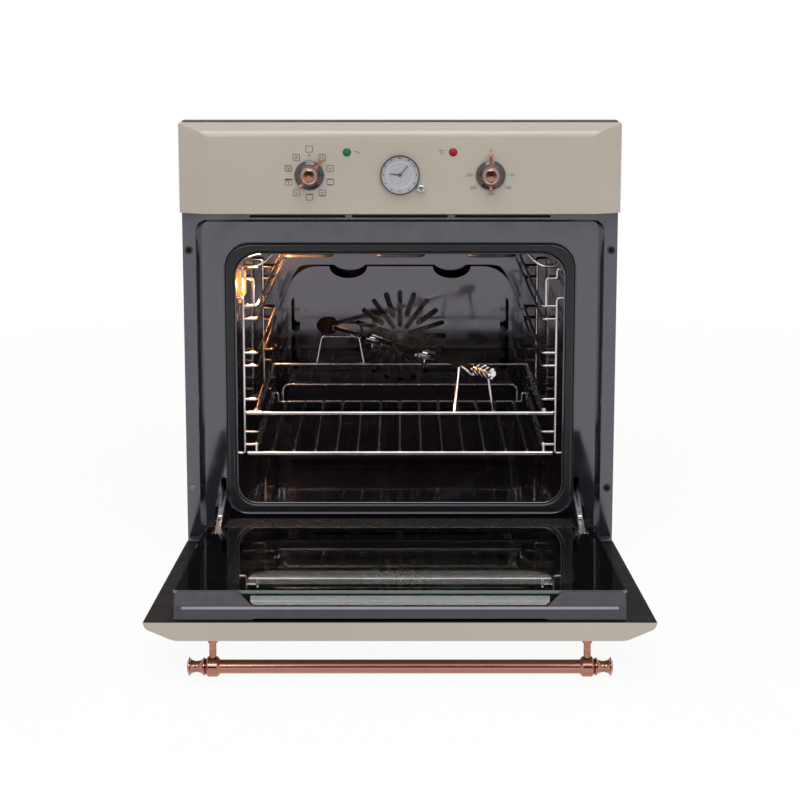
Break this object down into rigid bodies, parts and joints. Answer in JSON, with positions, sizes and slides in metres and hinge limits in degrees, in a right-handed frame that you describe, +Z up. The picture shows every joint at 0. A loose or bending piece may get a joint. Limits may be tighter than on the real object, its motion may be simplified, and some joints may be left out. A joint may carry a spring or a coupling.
{
  "type": "built-in electric oven",
  "caption": "Built-in electric oven with drop-down glazed door, bar handle, wire shelf, rotisserie spit, fan, rotary controls and an analogue clock.",
  "frame": {"origin": "front middle of the underside, where the plane of the flange meets the shelf of the niche", "axes": "+Z up, +Y to the rear, X along the front"},
  "size_m": [0.595, 1.0538, 0.6231],
  "materials": {
    "enamel_cream": "satin champagne enamel",
    "enamel_black": "glossy black enamel",
    "black_steel": "matt black paint",
    "zinc_steel": "zinc-plated sheet",
    "hinge_zinc": "zinc-plated pressing",
    "chromed_wire": "bright chrome",
    "bright_steel": "polished steel",
    "antique_copper": "antique copper plating",
    "black_plastic": "satin black",
    "switch_plastic": "moulded ivory",
    "seal_rubber": "woven-cored seal, dark grey",
    "glass_wool": "fibrous blanket",
    "dark_glass": "black reflective glass",
    "clear_glass": "clear",
    "lamp_plastic": "translucent lens",
    "element_steel": "oxidised heater sheath",
    "fan_steel": "pressed sheet",
    "motor_iron": "dark motor body"
  },
  "bodies": {
    "carcass": {"air_duct": "zinc_steel", "base_panel": "zinc_steel", "blower_housing": "zinc_steel", "bottom_element": "element_steel", "cavity_gasket": "seal_rubber", "cavity_liner": "enamel_black", "clock_case": "black_plastic", "clock_glass": "clear_glass", "control_panel": "enamel_cream", "cover_screws": "bright_steel", "fan_cover": "enamel_black", "fan_motor": "motor_iron", "front_frame": "enamel_black", "grill_element": "element_steel", "hinge_brackets": "zinc_steel", "indicator_lamps": "lamp_plastic", "insulation": "glass_wool", "lamp_bulb": "clear_glass", "lamp_housing": "zinc_steel", "lamp_lens": "clear_glass", "panel_bracket": "black_steel", "rear_panel": "zinc_steel", "ring_element": "element_steel", "screw_bushes": "black_plastic", "selector_switch": "switch_plastic", "side_panels": "zinc_steel", "side_racks": "chromed_wire", "spit_motor": "motor_iron", "terminal_box": "black_plastic", "thermostat": "switch_plastic", "top_cover": "zinc_steel"},
    "door": {"door_skin": "enamel_cream", "outer_window": "dark_glass", "door_tub": "enamel_black", "inner_glass": "dark_glass", "middle_glass": "clear_glass", "glass_rails": "black_steel", "lower_trim": "black_plastic", "top_moulding": "black_plastic", "door_cheeks": "zinc_steel", "hinge_pins": "bright_steel", "handle_bar": "antique_copper", "handle_posts": "antique_copper", "handle_finials": "antique_copper"},
    "struts": {"struts": "hinge_zinc"},
    "selector": {"selector_knob": "black_plastic", "selector_pointer": "antique_copper"},
    "thermostat_control": {"thermostat_knob": "black_plastic", "thermostat_pointer": "antique_copper"},
    "clock_setting": {"clock_knob": "bright_steel"},
    "minute": {"minute_hand": "black_plastic"},
    "hour": {"hour_hand": "black_plastic"},
    "oven_fan": {"convection_fan": "fan_steel"},
    "cooling_fan": {"blower_rotor": "fan_steel"},
    "shelf": {"wire_shelf": "chromed_wire"},
    "spit_carriage": {"spit_frame": "chromed_wire"},
    "spit": {"spit_rod": "bright_steel", "spit_handle": "bright_steel", "spit_forks": "chromed_wire"},
    "spit_drive": {"spit_socket": "motor_iron"}
  },
  "joints": [
    {"name": "door_hinge", "type": "hinge", "parent": "carcass", "child": "door", "pos_m": [0, -0.0266, 0.0115], "axis": [-1, 0, 0], "range_deg": [0, 85.2]},
    {"name": "strut_pivot", "type": "hinge", "parent": "door", "child": "struts", "pos_m": [0, -0.10043, 0.04178], "axis": [1, 0, 0], "range_deg": [0, 42.2]},
    {"name": "selector_turn", "type": "hinge", "parent": "carcass", "child": "selector", "pos_m": [-0.121, -0.05, 0.5244], "axis": [0, 1, 0], "continuous": true},
    {"name": "thermostat_turn", "type": "hinge", "parent": "carcass", "child": "thermostat_control", "pos_m": [0.121, -0.05, 0.5244], "axis": [0, 1, 0], "range_deg": [0, 285]},
    {"name": "clock_setting_turn", "type": "hinge", "parent": "carcass", "child": "clock_setting", "pos_m": [0.0279, -0.05, 0.5073], "axis": [0, 1, 0], "continuous": true},
    {"name": "minute_turn", "type": "hinge", "parent": "carcass", "child": "minute", "pos_m": [0, -0.05, 0.525], "axis": [0, 1, 0], "continuous": true},
    {"name": "hour_turn", "type": "hinge", "parent": "carcass", "child": "hour", "pos_m": [0, -0.05, 0.525], "axis": [0, 1, 0], "continuous": true},
    {"name": "oven_fan_spin", "type": "hinge", "parent": "carcass", "child": "oven_fan", "pos_m": [0, 0.42, 0.224], "axis": [0, 1, 0], "continuous": true},
    {"name": "cooling_fan_spin", "type": "hinge", "parent": "carcass", "child": "cooling_fan", "pos_m": [0, 0.3, 0.495], "axis": [1, 0, 0], "continuous": true},
    {"name": "shelf_slide", "type": "slide", "parent": "carcass", "child": "shelf", "axis": [0, 1, 0], "range_m": [-0.3, 0]},
    {"name": "spit_frame_slide", "type": "slide", "parent": "carcass", "child": "spit_carriage", "axis": [0, 1, 0], "range_m": [-0.25, 0]},
    {"name": "spit_spin", "type": "hinge", "parent": "spit_carriage", "child": "spit", "pos_m": [-0.112, 0.402, 0.241], "axis": [0.5299, -0.848, 0], "continuous": true},
    {"name": "spit_drive_spin", "type": "hinge", "parent": "carcass", "child": "spit_drive", "pos_m": [-0.112, 0.402, 0.241], "axis": [0.5299, -0.848, 0], "continuous": true}
  ],
  "couplings": [
    {"joint": "strut_pivot", "follows": "door_hinge", "ratio": 0.4949},
    {"joint": "minute_turn", "follows": "clock_setting_turn", "ratio": 1},
    {"joint": "hour_turn", "follows": "clock_setting_turn", "ratio": 0.083333},
    {"joint": "spit_drive_spin", "follows": "spit_spin", "ratio": 1}
  ]
}
